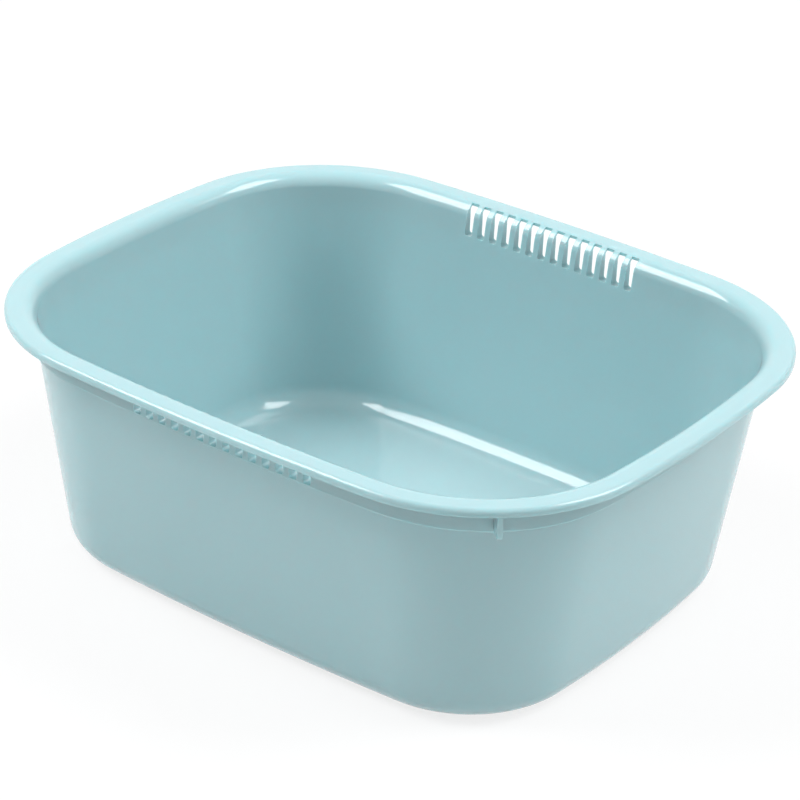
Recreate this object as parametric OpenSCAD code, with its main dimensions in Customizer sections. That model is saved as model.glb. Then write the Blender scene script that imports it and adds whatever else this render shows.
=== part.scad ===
// A washing up bowl, moulded in one piece: a basin with sloping walls, a wide
// rim with a turned-down lip, a thicker band of wall under the rim, a row of
// drain slots in each long side and one lug at a corner.
// The origin is on the underside, at the middle, with X along the length.

/* [Outline seen from above] */
// Length over the lip, along X
rim_l = 380; // [350:1:440]
// Width over the lip, along Y
rim_w = 312; // [290:1:360]
// Corner radius of the lip
corner_r = 97; // [85:1:110]
// Radius of the slight bow of the long sides
long_bow_r = 1750; // [1300:10:4000]
// Radius of the slight bow of the short sides
short_bow_r = 780; // [600:10:2000]

/* [Basin] */
// Height from the table to the top of the rim
height = 140; // [110:1:180]
// Slope of the walls away from upright, in degrees
draft = 8; // [4:0.5:11]
// Wall thickness, square to the wall
wall_t = 2.5; // [1.8:0.1:3.2]
// Floor thickness
floor_t = 2.5; // [1.8:0.1:4]
// Outer radius where the walls run into the base
base_r = 17; // [8:0.5:24]
// Distance of the outer wall from the lip's outer face, just under the band
wall_set = 16; // [15:0.25:20]

/* [Rim] */
// Thickness of the rim's flat flange
flange_t = 2.2; // [1.6:0.1:2.5]
// Height of the turned-down lip, with the flange
lip_h = 4.3; // [4:0.1:9]
// Thickness of the lip
lip_t = 2; // [1.5:0.1:2.5]
// Outer radius where the flange turns down into the lip
lip_r = 2.4; // [1.5:0.1:3.4]
// Radius where the rim turns down into the inner wall
rim_in_r = 8.5; // [4:0.25:9.5]
// Radius under the rim, where the flange meets the band
under_r = 2; // [1:0.1:5]
// Radius that breaks the moulding's outer edges
edge_r = 0.7; // [0.3:0.05:0.9]
// Radius in the moulding's other inner corners
root_r = 1; // [0.4:0.1:1.3]

/* [Band under the rim] */
// Distance of the band's outer face from the lip's outer face
band_set = 13; // [12.5:0.1:14]
// Distance of the band's lower edge below the rim's top
band_drop = 19.3; // [19:0.1:26]

/* [Drain slots] */
// Slots in each long side
slots = 14; // [6:1:18]
// Spacing of the slots
slot_pitch = 8.25; // [7:0.05:9.5]
// Width of a slot
slot_w = 4.8; // [4.2:0.1:6]
// Depth of a slot below the rim's top
slot_depth = 18; // [13:0.1:19]
// Distance of the notch's end in the flange from the lip's outer face
slot_set = 11.4; // [9:0.1:12.4]
// Radius of a slot's lower corners
slot_end_r = 1.5; // [0.5:0.1:2]
// Shift of each row off the middle of its side, anticlockwise seen from above
slot_shift = 1.8; // [0:0.1:3]

/* [Corner lug] */
// Thickness of the lug
lug_t = 2.6; // [2:0.1:5]
// Height of the lug's outer end below the lip
lug_h = 11.7; // [6:0.1:13]
// Drop of the lug's lower edge from its outer end to the band
lug_fall = 1; // [0:0.1:3]
// Turn of the lug around the corner, away from the long side
lug_turn = 43; // [20:1:70]

/* [Hidden] */

// Turn from one facet to the next, in degrees, round the corners seen from
// above, the steps along each shallow bow, and the most that a facet may stand
// off a round of the section
corner_step = 6;
bow_steps = 6;
facet_gap = 0.06;
// How far a cut runs past the face that it opens
past = 2;

half_l = rim_l / 2;
half_w = rim_w / 2;
band_z = height - band_drop;
lip_z = height - lip_h;
flange_z = height - flange_t;

// Centres of the bows of the +Y and the +X side. The arc of the +X +Y corner
// touches both bows, so its centre lies where two circles about theirs meet.
long_centre = [0, half_w - long_bow_r];
short_centre = [half_l - short_bow_r, 0];
corner_centre = circles_meet(
    long_centre, long_bow_r - corner_r, short_centre, short_bow_r - corner_r);
// Half the angle that each bow spans
long_half = atan2(corner_centre.x, corner_centre.y - long_centre.y);
short_half = atan2(corner_centre.y, corner_centre.x - short_centre.x);

// The meeting point with the larger x of two circles about p and q
function circles_meet(p, rp, q, rq) =
    let (d = norm(q - p), u = (q - p) / d,
         along = (d * d + rp * rp - rq * rq) / (2 * d),
         aside = sqrt(rp * rp - along * along),
         foot = p + u * along, a = foot + [-u.y, u.x] * aside, b = foot - [-u.y, u.x] * aside)
    a.x > b.x ? a : b;

// Points on an arc, without its last one
function arc(centre, r, from, to, steps) =
    [for (i = [0:steps - 1])
        let (a = from + (to - from) * i / steps) centre + r * [cos(a), sin(a)]];

// A quarter of the outline seen from above, set in from the lip's outer face:
// half the +X bow, the corner and half the +Y bow
corner_steps = ceil((90 - short_half - long_half) / corner_step);
function quarter(set) = concat(
    arc(short_centre, short_bow_r - set, 0, short_half, bow_steps / 2),
    arc(corner_centre, corner_r - set, short_half, 90 - long_half, corner_steps),
    arc(long_centre, long_bow_r - set, 90 - long_half, 90, bow_steps / 2));

// The whole outline, anticlockwise
function outline(set) =
    let (q = quarter(set), n = len(q), top = [0, half_w - set], side = [half_l - set, 0])
    concat(
        q,
        [top], [for (i = [n - 1:-1:1]) [-q[i].x, q[i].y]],
        [-side], [for (i = [1:n - 1]) -q[i]],
        [-top], [for (i = [n - 1:-1:1]) [q[i].x, -q[i].y]]);

function unit(v) = v / norm(v);

// A path of [x, y, radius] rows with each inner corner rounded
function rounded(rows) = [
    for (i = [0:len(rows) - 1])
        let (b = [rows[i][0], rows[i][1]], r = rows[i][2])
        each r == 0 ? [b] : round_at(
            [rows[i - 1][0], rows[i - 1][1]], b, [rows[i + 1][0], rows[i + 1][1]], r)];

// The arc that rounds the corner b on the way from a to c
function round_at(a, b, c, r) =
    let (u = unit(a - b), v = unit(c - b), half = acos(u * v) / 2,
         centre = b + unit(u + v) * r / sin(half),
         first = b + u * r / tan(half) - centre,
         side = sign(u.x * v.y - u.y * v.x),
         sweep = 180 - 2 * half, steps = ceil(sweep / (2 * acos(1 - facet_gap / r))))
    [for (i = [0:steps])
        let (a = -side * sweep * i / steps)
        centre + [first.x * cos(a) - first.y * sin(a), first.x * sin(a) + first.y * cos(a)]];

// Distances from the lip's outer face of the outer and inner wall at height z
function wall_out(z) = wall_set + (band_z - z) * tan(draft);
function wall_in(z) = wall_out(z) + wall_t / cos(draft);
// Inner radius where the walls run into the floor, which keeps their thickness
floor_r = base_r - wall_t;
// Where the section leaves the floor and the base as flat plates
plate_set = wall_in(0) + base_r;

// The moulding's section, as distance inwards from the lip's outer face, height
// and radius, from the floor over the rim and down the outside to the base
section = rounded([
    [plate_set, floor_t, 0],
    [wall_in(floor_t), floor_t, floor_r],
    [wall_in(height), height, rim_in_r],
    [0, height, lip_r],
    [0, lip_z, edge_r],
    [lip_t, lip_z, edge_r],
    [lip_t, flange_z, root_r],
    [band_set, flange_z, under_r],
    [band_set, band_z, edge_r],
    [wall_set, band_z, root_r],
    [wall_out(0), 0, base_r],
    [plate_set, 0, 0]]);

// The lug's outline in the same two directions: its outer face, under the lip,
// and its lower edge, which runs to the band. The rest is sunk in the moulding.
lug_tip_z = lip_z - lug_h;
lug_sunk_set = band_set + wall_t / 4;
lug_sunk_z = flange_z + flange_t / 3;
lug_outline = rounded([
    [edge_r, lip_z + edge_r, 0],
    [edge_r, lug_tip_z, root_r],
    [lug_sunk_set, lug_tip_z - lug_fall, 0],
    [lug_sunk_set, flange_z - under_r, 0],
    [band_set - under_r, lug_sunk_z, 0],
    [lip_t / 2, lug_sunk_z, 0]]);

// A slot seen square to the wall, from its lower edge up past the rim's top
slot_outline = rounded([
    [-slot_w / 2, height + past, 0],
    [-slot_w / 2, height - slot_depth, slot_end_r],
    [slot_w / 2, height - slot_depth, slot_end_r],
    [slot_w / 2, height + past, 0]]);

// A solid skin through rings of points, closed by its first and last ring
module loft(rings) {
    n = len(rings[0]);
    m = len(rings);
    polyhedron(
        points = [for (ring = rings) each ring],
        faces = concat(
            [[for (i = [n - 1:-1:0]) i]],
            [for (k = [0:m - 2], i = [0:n - 1])
                [k * n + i, k * n + (i + 1) % n, (k + 1) * n + (i + 1) % n, (k + 1) * n + i]],
            [[for (i = [0:n - 1]) (m - 1) * n + i]]));
}

// Floor, walls, rim, lip and band: the section carried round the outline
module shell() {
    loft([for (s = section) [for (p = outline(s[0])) [p.x, p.y, s[1]]]]);
}

// One slot's cut, which opens the wall and notches the flange above it
module slot_cut() {
    reach = wall_in(height - slot_depth) - slot_set + past;
    translate([0, -slot_set]) rotate([90, 0, 0]) linear_extrude(reach) polygon(slot_outline);
}

// The row of slots in the +Y side, each square to the bow
module slot_row() {
    for (i = [0:slots - 1])
        let (along = slot_shift + (i - (slots - 1) / 2) * slot_pitch)
            translate(long_centre)
                rotate(along / (long_bow_r - slot_set) * 180 / PI)
                    translate([0, long_bow_r]) slot_cut();
}

// The lug under the lip at the +X -Y corner
module lug() {
    translate([corner_centre.x, -corner_centre.y])
        rotate([90, 0, lug_turn - 90])
            translate([corner_r, 0, -lug_t / 2])
                linear_extrude(lug_t) mirror([1, 0]) polygon(lug_outline);
}

// The bowl, one moulding
module bowl() {
    color([0.66, 0.83, 0.85])
        difference() {
            union() {
                shell();
                lug();
            }
            for (side = [0, 180]) rotate(side) slot_row();
        }
}

bowl();
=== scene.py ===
import math

import bmesh
import bpy
from mathutils import Matrix, Vector


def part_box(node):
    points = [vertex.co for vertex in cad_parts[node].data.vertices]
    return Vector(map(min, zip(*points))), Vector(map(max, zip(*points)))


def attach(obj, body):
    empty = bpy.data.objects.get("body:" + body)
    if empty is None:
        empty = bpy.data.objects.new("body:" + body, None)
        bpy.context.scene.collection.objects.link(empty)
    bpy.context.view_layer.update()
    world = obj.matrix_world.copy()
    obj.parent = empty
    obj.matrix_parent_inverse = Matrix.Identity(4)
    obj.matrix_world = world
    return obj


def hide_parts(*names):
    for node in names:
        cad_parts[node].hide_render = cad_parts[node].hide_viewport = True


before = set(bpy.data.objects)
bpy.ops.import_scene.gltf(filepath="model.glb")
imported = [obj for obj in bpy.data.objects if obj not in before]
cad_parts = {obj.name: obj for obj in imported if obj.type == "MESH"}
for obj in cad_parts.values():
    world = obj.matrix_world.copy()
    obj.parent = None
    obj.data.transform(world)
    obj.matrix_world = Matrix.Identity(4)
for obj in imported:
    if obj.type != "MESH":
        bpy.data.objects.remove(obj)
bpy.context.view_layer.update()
millimetre = 0.001

# The photograph's view: where the camera looks, from how far and with which lens
cameraView = {
    "target": (-0.02208, 0.03401, 0.070),
    "azimuth": 36.465,
    "elevation": 27.791,
    "roll": 2.313,
    "distance": 1.5083,
    "lens": 125.93,  # for a sensor 36 mm wide
}


def backVector(azimuth, elevation):
    a, e = math.radians(azimuth), math.radians(elevation)
    return Vector((math.sin(a) * math.cos(e), -math.cos(a) * math.cos(e), math.sin(e)))


def lookAlong(back, roll=0.0):
    # Rotation whose local Z is back and whose local X is level, then rolled
    right = Vector((0, 0, 1)).cross(back).normalized()
    up = back.cross(right)
    turn = Matrix((right, up, back)).transposed()
    return (turn @ Matrix.Rotation(math.radians(roll), 3, "Z")).to_4x4()


def makeCamera(view):
    data = bpy.data.cameras.new("photoCamera")
    data.lens = view["lens"]
    data.sensor_width = 36
    camera = bpy.data.objects.new("photoCamera", data)
    back = backVector(view["azimuth"], view["elevation"])
    place = Vector(view["target"]) + back * view["distance"]
    camera.matrix_world = Matrix.Translation(place) @ lookAlong(back, view["roll"])
    bpy.context.scene.collection.objects.link(camera)
    bpy.context.scene.camera = camera


makeCamera(cameraView)
print("camera placed")


# Shader values as Python expressions
class Shade:
    def __init__(self, tree, socket):
        self.tree = tree
        self.socket = socket

    def node(self, kind, settings=None, **values):
        made = self.tree.nodes.new(kind)
        for name, value in (settings or {}).items():
            if name == "stops":
                setStops(made.color_ramp, value)
            else:
                setattr(made, name, value)
        for name, value in values.items():
            plug(self.tree, findSocket(made, name), value)
        return made

    def math(self, operation, *values):
        made = self.node("ShaderNodeMath", {"operation": operation})
        for socket, value in zip(made.inputs, values):
            plug(self.tree, socket, value)
        return Shade(self.tree, made.outputs[0])

    def seenRays(self):
        # 1 for the rays that show the backdrop: the camera's, reflected and transmitted
        path = self.node("ShaderNodeLightPath")
        kinds = ("Is Camera Ray", "Is Glossy Ray", "Is Transmission Ray")
        camera, glossy, through = (Shade(self.tree, path.outputs[kind]) for kind in kinds)
        return self.math("MAXIMUM", self.math("MAXIMUM", camera, glossy), through)

    def __add__(self, other):
        return self.math("ADD", self, other)

    def __radd__(self, other):
        return self.math("ADD", other, self)

    def __sub__(self, other):
        return self.math("SUBTRACT", self, other)

    def __rsub__(self, other):
        return self.math("SUBTRACT", other, self)

    def __mul__(self, other):
        return self.math("MULTIPLY", self, other)

    def __rmul__(self, other):
        return self.math("MULTIPLY", other, self)


def setStops(ramp, stops):
    while len(ramp.elements) < len(stops):
        ramp.elements.new(0.5)
    for element, (place, colour) in zip(ramp.elements, stops):
        element.position = place
        element.color = (*colour, 1)


def findSocket(node, name):
    # A keyword such as baseColor names the socket Base Color
    for socket in node.inputs:
        if socket.name.replace(" ", "").lower() == name.lower() and socket.enabled:
            return socket
    raise KeyError(name)


def plug(tree, socket, value):
    if isinstance(value, Shade):
        tree.links.new(value.socket, socket)
    else:
        socket.default_value = value


def newMaterial(name):
    material = bpy.data.materials.new(name)
    material.use_nodes = True
    tree = material.node_tree
    tree.nodes.clear()
    output = tree.nodes.new("ShaderNodeOutputMaterial")
    return material, Shade(tree, None), output


# The moulded plastic: pale blue-green, semi-gloss, a little light passes into it
plastic = {
    "colour": (0.341, 0.507, 0.536),
    "paleColour": (0.349, 0.515, 0.544),
    "cloudScale": 9.0,
    "cloudDetail": 3.0,
    "cloudRange": (0.35, 0.65),  # the cloud's values that take the two colours
    "roughness": 0.10,
    "roughnessSpread": 0.03,
    "ior": 1.49,
    "subsurface": 0.5,
    "subsurfaceRadius": (0.35, 1.0, 1.0),
    "subsurfaceScale": 0.005,  # metres
    "peelScale": 420.0,
    "peelDetail": 2.0,
    "peelDepth": 0.000002,  # metres
}


def plasticMaterial(look):
    material, shade, output = newMaterial("mouldedPlastic")
    place = Shade(shade.tree, shade.node("ShaderNodeTexCoord").outputs["Object"])
    cloud = shade.node(
        "ShaderNodeTexNoise", vector=place, scale=look["cloudScale"], detail=look["cloudDetail"]
    )
    peel = shade.node(
        "ShaderNodeTexNoise", vector=place, scale=look["peelScale"], detail=look["peelDetail"]
    )
    cloudMask = Shade(shade.tree, cloud.outputs["Fac"])
    peelMask = Shade(shade.tree, peel.outputs["Fac"])
    low, high = look["cloudRange"]
    ramp = shade.node(
        "ShaderNodeValToRGB",
        {"stops": [(low, look["colour"]), (high, look["paleColour"])]},
        fac=cloudMask,
    )
    bump = shade.node(
        "ShaderNodeBump", height=peelMask, distance=look["peelDepth"], strength=1.0
    )
    roughness = look["roughness"] + (cloudMask - 0.5) * look["roughnessSpread"]
    skin = shade.node(
        "ShaderNodeBsdfPrincipled",
        baseColor=Shade(shade.tree, ramp.outputs["Color"]),
        roughness=roughness,
        normal=Shade(shade.tree, bump.outputs["Normal"]),
        ior=look["ior"],
        subsurfaceWeight=look["subsurface"],
        subsurfaceRadius=look["subsurfaceRadius"],
        subsurfaceScale=look["subsurfaceScale"],
    )
    shade.tree.links.new(skin.outputs[0], output.inputs["Surface"])
    return material


# The bowl's sizes in millimetres, as the CAD part has them
cadLow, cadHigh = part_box("bowl")
bowl = {
    "length": (cadHigh.x - cadLow.x) / millimetre,
    "width": (cadHigh.y - cadLow.y) / millimetre,
    "height": (cadHigh.z - cadLow.z) / millimetre,
    "cornerRadius": 97,
    "longBow": 1750,
    "shortBow": 780,
    "draft": 8,
    "wall": 2.5,
    "floor": 2.5,
    "baseRound": 17,
    "wallInset": 16,
    "flange": 2.2,
    "lipHeight": 4.3,
    "lipThickness": 2,
    "lipRound": 2.4,
    "innerRound": 8.5,
    "underRound": 2,
    "edgeRound": 0.7,
    "rootRound": 1,
    "bandInset": 13,
    "bandDrop": 19.3,
    "cornerStep": 1.5,  # degrees from one column of faces to the next, round a corner
    "longBowStep": 0.3,  # and along a long side
    "shortBowStep": 0.6,  # and along a short side
    "roundStep": 7.5,  # degrees from one row of faces to the next, round the section
    "plateRows": (28, 14, 4, 0),  # rows on the floor and base, from where the plates start
    "innerRows": (30, 55, 80, 105),  # heights of the rows up the inner wall
    "outerRows": (100, 75, 50, 30),  # and down the outer wall
}
slots = {
    "count": 14,
    "pitch": 8.25,
    "width": 4.8,
    "depth": 18,
    "inset": 11.4,
    "endRound": 1.5,
    "shift": 1.8,
    "past": 2,  # how far a cut runs past the face that it opens
    "roundStep": 15,
    "breakEdge": 0.35,
    "breakSteps": 3,
    "breakAngle": 38,  # edges sharper than this are broken
}
lug = {
    "thickness": 2.6,
    "height": 11.7,
    "fall": 1,
    "turn": 43,
    "roundStep": 20,
}


def circlesMeet(p, pRadius, q, qRadius):
    # The meeting point with the larger x of two circles about p and q
    gap = (q - p).length
    u = (q - p) / gap
    along = (gap * gap + pRadius * pRadius - qRadius * qRadius) / (2 * gap)
    aside = math.sqrt(pRadius * pRadius - along * along)
    foot = p + u * along
    sides = [foot + Vector((-u.y, u.x)) * aside, foot - Vector((-u.y, u.x)) * aside]
    return max(sides, key=lambda point: point.x)


longCentre = Vector((0, bowl["width"] / 2 - bowl["longBow"]))
shortCentre = Vector((bowl["length"] / 2 - bowl["shortBow"], 0))
cornerCentre = circlesMeet(
    longCentre, bowl["longBow"] - bowl["cornerRadius"],
    shortCentre, bowl["shortBow"] - bowl["cornerRadius"],
)
longHalf = math.degrees(math.atan2(cornerCentre.x, cornerCentre.y - longCentre.y))
shortHalf = math.degrees(math.atan2(cornerCentre.y, cornerCentre.x - shortCentre.x))
slotTurn = math.degrees(slots["pitch"] / (bowl["longBow"] - slots["inset"]))
slotShift = math.degrees(slots["shift"] / (bowl["longBow"] - slots["inset"]))


def steps(start, end, size):
    # Even steps from start to end, none over size, without the last one
    count = math.ceil(abs(end - start) / size)
    return [start + (end - start) * i / count for i in range(count)]


def allStations():
    # Columns of the outline: centre, radius and direction, half of it and again
    first = 90 + slotShift - slots["count"] / 2 * slotTurn
    ribs = [first + i * slotTurn for i in range(slots["count"] + 1)]  # a column at each rib
    longStep, step = bowl["longBowStep"], bowl["cornerStep"]
    longBow = steps(90 - longHalf, first, longStep) + ribs[:-1]
    longBow += steps(ribs[-1], 90 + longHalf, longStep)
    mirrored = Vector((-cornerCentre.x, cornerCentre.y))
    arcs = [
        (shortCentre, bowl["shortBow"], steps(-shortHalf, shortHalf, bowl["shortBowStep"])),
        (cornerCentre, bowl["cornerRadius"], steps(shortHalf, 90 - longHalf, step)),
        (longCentre, bowl["longBow"], longBow),
        (mirrored, bowl["cornerRadius"], steps(90 + longHalf, 180 - shortHalf, step)),
    ]
    stations = []
    for side in (1, -1):
        for centre, radius, angles in arcs:
            for angle in angles:
                a = math.radians(angle)
                direction = Vector((math.cos(a), math.sin(a)))
                stations.append((centre * side, radius, direction * side))
    return stations


def rounded(rows, step):
    # A path of (inset, height, radius) rows with its inner corners rounded
    path = []
    for i, (x, y, radius) in enumerate(rows):
        if radius == 0:
            path.append(Vector((x, y)))
            continue
        b = Vector((x, y))
        u = (Vector(rows[i - 1][:2]) - b).normalized()
        v = (Vector(rows[i + 1][:2]) - b).normalized()
        half = u.angle(v) / 2
        centre = b + (u + v).normalized() * radius / math.sin(half)
        first = b + u * radius / math.tan(half) - centre
        side = 1 if u.x * v.y - u.y * v.x > 0 else -1
        sweep = math.pi - 2 * half
        count = max(3, math.ceil(math.degrees(sweep) / step))
        for k in range(count + 1):
            path.append(centre + Matrix.Rotation(-side * sweep * k / count, 2) @ first)
    return path


def wallOut(z):
    bandLow = bowl["height"] - bowl["bandDrop"]
    return bowl["wallInset"] + (bandLow - z) * math.tan(math.radians(bowl["draft"]))


def wallIn(z):
    return wallOut(z) + bowl["wall"] / math.cos(math.radians(bowl["draft"]))


def sectionPath():
    top = bowl["height"]
    flange = top - bowl["flange"]
    lipLow = top - bowl["lipHeight"]
    bandLow = top - bowl["bandDrop"]
    plate = wallIn(0) + bowl["baseRound"]
    edge, root = bowl["edgeRound"], bowl["rootRound"]
    inner = bowl["baseRound"] - bowl["wall"]
    rows = [(plate + extra, bowl["floor"], 0) for extra in bowl["plateRows"]]
    rows += [(wallIn(bowl["floor"]), bowl["floor"], inner)]
    rows += [(wallIn(z), z, 0) for z in bowl["innerRows"]]
    rows += [
        (wallIn(top), top, bowl["innerRound"]),
        (0, top, bowl["lipRound"]),
        (0, lipLow, edge),
        (bowl["lipThickness"], lipLow, edge),
        (bowl["lipThickness"], flange, root),
        (bowl["bandInset"], flange, bowl["underRound"]),
        (bowl["bandInset"], bandLow, edge),
        (bowl["wallInset"], bandLow, root),
    ]
    rows += [(wallOut(z), z, 0) for z in bowl["outerRows"]]
    rows += [(wallOut(0), 0, bowl["baseRound"])]
    rows += [(plate + extra, 0, 0) for extra in bowl["plateRows"][::-1]]
    return rounded(rows, bowl["roundStep"])


def meshObject(name, mesh):
    piece = bpy.data.objects.new(name, mesh)
    bpy.context.scene.collection.objects.link(piece)
    return piece


def loftShell():
    # The section carried round the outline, closed by the floor and the base
    stations = allStations()
    work = bmesh.new()
    rings = []
    for point in sectionPath():
        ring = []
        for centre, radius, direction in stations:
            flat = centre + direction * (radius - point.x)
            ring.append(work.verts.new(Vector((flat.x, flat.y, point.y)) * millimetre))
        rings.append(ring)
    count = len(stations)
    for low, high in zip(rings, rings[1:]):
        for i in range(count):
            j = (i + 1) % count
            work.faces.new((low[i], low[j], high[j], high[i]))
    work.faces.new(rings[0][::-1])
    work.faces.new(rings[-1])
    bmesh.ops.recalc_face_normals(work, faces=work.faces[:])
    mesh = bpy.data.meshes.new("bowlBody")
    work.to_mesh(mesh)
    work.free()
    return meshObject("bowlBody", mesh)


def prism(work, outline, shift):
    # A closed prism through outline and the same outline shifted
    first = [work.verts.new(p) for p in outline]
    last = [work.verts.new(p + shift) for p in outline]
    count = len(outline)
    work.faces.new(first[::-1])
    work.faces.new(last)
    for i in range(count):
        j = (i + 1) % count
        work.faces.new((first[i], first[j], last[j], last[i]))


def slotCutters():
    work = bmesh.new()
    half = slots["width"] / 2
    low = bowl["height"] - slots["depth"]
    high = bowl["height"] + slots["past"]
    reach = wallIn(low) - slots["inset"] + slots["past"]
    outline = rounded([
        (-half, high, 0),
        (-half, low, slots["endRound"]),
        (half, low, slots["endRound"]),
        (half, high, 0),
    ], slots["roundStep"])
    for side in (1, -1):
        for i in range(slots["count"]):
            turn = math.radians(slotShift + (i - (slots["count"] - 1) / 2) * slotTurn)
            out = Vector((-math.sin(turn), math.cos(turn), 0)) * side
            along = Vector((out.y, -out.x, 0))
            base = longCentre.to_3d() * side + out * (bowl["longBow"] - slots["inset"])
            points = [base + along * p.x + Vector((0, 0, p.y)) for p in outline]
            prism(work, [p * millimetre for p in points], out * -reach * millimetre)
    bmesh.ops.recalc_face_normals(work, faces=work.faces[:])
    mesh = bpy.data.meshes.new("slotCutters")
    work.to_mesh(mesh)
    work.free()
    return meshObject("slotCutters", mesh)


def lugBlock():
    # The small wall under the lip at the near corner, sunk in the moulding
    flange = bowl["height"] - bowl["flange"]
    lipLow = bowl["height"] - bowl["lipHeight"]
    tip = lipLow - lug["height"]
    under = bowl["underRound"]
    sunkInset = bowl["bandInset"] + bowl["wall"] / 4
    sunk = flange + bowl["flange"] / 3
    path = rounded([
        (bowl["edgeRound"], lipLow + bowl["edgeRound"], 0),
        (bowl["edgeRound"], tip, bowl["rootRound"]),
        (sunkInset, tip - lug["fall"], 0),
        (sunkInset, flange - under, 0),
        (bowl["bandInset"] - under, sunk, 0),
        (bowl["lipThickness"] / 2, sunk, 0),
    ], lug["roundStep"])
    turn = math.radians(lug["turn"])
    out = Vector((math.sin(turn), -math.cos(turn), 0))
    along = Vector((-out.y, out.x, 0))
    centre = Vector((cornerCentre.x, -cornerCentre.y, 0))
    outline = []
    for point in path:
        flat = centre + out * (bowl["cornerRadius"] - point.x) - along * lug["thickness"] / 2
        outline.append((flat + Vector((0, 0, point.y))) * millimetre)
    work = bmesh.new()
    prism(work, outline, along * lug["thickness"] * millimetre)
    bmesh.ops.recalc_face_normals(work, faces=work.faces[:])
    mesh = bpy.data.meshes.new("lugBlock")
    work.to_mesh(mesh)
    work.free()
    return meshObject("lugBlock", mesh)


def applyModifiers(piece):
    graph = bpy.context.evaluated_depsgraph_get()
    finished = bpy.data.meshes.new_from_object(piece.evaluated_get(graph))
    piece.modifiers.clear()
    piece.data = finished


def combine(piece, tool, operation):
    boolean = piece.modifiers.new(operation.lower(), "BOOLEAN")
    boolean.operation = operation
    boolean.solver = "EXACT"
    boolean.object = tool
    applyModifiers(piece)
    bpy.data.objects.remove(tool)


def makeBowl(material):
    piece = loftShell()
    combine(piece, lugBlock(), "UNION")
    combine(piece, slotCutters(), "DIFFERENCE")
    bevel = piece.modifiers.new("brokenEdges", "BEVEL")
    bevel.width = slots["breakEdge"] * millimetre
    bevel.segments = slots["breakSteps"]
    bevel.limit_method = "ANGLE"
    bevel.angle_limit = math.radians(slots["breakAngle"])
    weighted = piece.modifiers.new("evenShading", "WEIGHTED_NORMAL")
    weighted.keep_sharp = True
    for face in piece.data.polygons:
        face.use_smooth = True
    applyModifiers(piece)
    piece.data.materials.clear()
    piece.data.materials.append(material)
    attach(piece, "root")
    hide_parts("bowl")
    return piece


makeBowl(plasticMaterial(plastic))
print("bowl made")


# Floor, world and lamps
studio = {
    "floorColour": (0.80, 0.80, 0.80),
    "floorWhiteness": 0.8,  # the share of plain white that is seen; the rest keeps the shadow
    "floorSize": 8.0,
    "lamps": [
        # azimuth, elevation, distance, width, height, power, whether it shows in reflections
        ("leftSoftbox", -53, 48, 2.2, 1.18, 1.16, 44, True),
        ("rightSoftbox", 128, 51, 2.2, 0.94, 1.26, 37, True),
        ("topScreen", 36, 80, 2.6, 2.6, 2.6, 8, False),
        ("frontScreen", 36, 50, 2.8, 3.0, 2.4, 21, False),
        ("backScreen", 216, 30, 2.4, 2.4, 1.2, 12.5, False),
        ("rightScreen", 127, 30, 2.6, 2.2, 2.2, 15, False),
        ("lowLeftScreen", -53, 8, 2.2, 1.6, 0.6, 2.2, False),
    ],
}


def stageMaterial(look):
    material, shade, output = newMaterial("stageWhite")
    diffuse = shade.node("ShaderNodeBsdfDiffuse", color=(*look["floorColour"], 1))
    white = shade.node("ShaderNodeEmission", color=(1, 1, 1, 1), strength=1.0)
    mix = shade.node("ShaderNodeMixShader")
    plug(shade.tree, mix.inputs[0], shade.seenRays() * look["floorWhiteness"])
    shade.tree.links.new(diffuse.outputs[0], mix.inputs[1])
    shade.tree.links.new(white.outputs[0], mix.inputs[2])
    shade.tree.links.new(mix.outputs[0], output.inputs["Surface"])
    return material


def makeFloor(look):
    half = look["floorSize"] / 2
    mesh = bpy.data.meshes.new("studioFloor")
    mesh.from_pydata(
        [(-half, -half, 0), (half, -half, 0), (half, half, 0), (-half, half, 0)], [], [(0, 1, 2, 3)]
    )
    piece = meshObject("studioFloor", mesh)
    mesh.materials.append(stageMaterial(look))


def makeWorld():
    # White for the camera and in reflections; the lamps light the bowl
    world = bpy.data.worlds.new("studioWorld")
    bpy.context.scene.world = world
    world.use_nodes = True
    tree = world.node_tree
    tree.nodes.clear()
    shade = Shade(tree, None)
    dark = shade.node("ShaderNodeBackground", color=(0, 0, 0, 1), strength=1.0)
    white = shade.node("ShaderNodeBackground", color=(1, 1, 1, 1), strength=1.0)
    mix = shade.node("ShaderNodeMixShader")
    plug(tree, mix.inputs[0], shade.seenRays())
    tree.links.new(dark.outputs[0], mix.inputs[1])
    tree.links.new(white.outputs[0], mix.inputs[2])
    output = tree.nodes.new("ShaderNodeOutputWorld")
    tree.links.new(mix.outputs[0], output.inputs["Surface"])


def makeLamps(look):
    for name, azimuth, elevation, distance, width, height, power, glare in look["lamps"]:
        data = bpy.data.lights.new(name, "AREA")
        data.shape = "RECTANGLE"
        data.size, data.size_y = width, height
        data.energy = power
        lamp = bpy.data.objects.new(name, data)
        lamp.visible_glossy = glare
        back = backVector(azimuth, elevation)
        place = Vector((0, 0, bowl["height"] / 2 * millimetre)) + back * distance
        lamp.matrix_world = Matrix.Translation(place) @ lookAlong(back)
        bpy.context.scene.collection.objects.link(lamp)


makeFloor(studio)
makeWorld()
makeLamps(studio)
bpy.context.scene.view_settings.view_transform = "Standard"
print("studio lit")
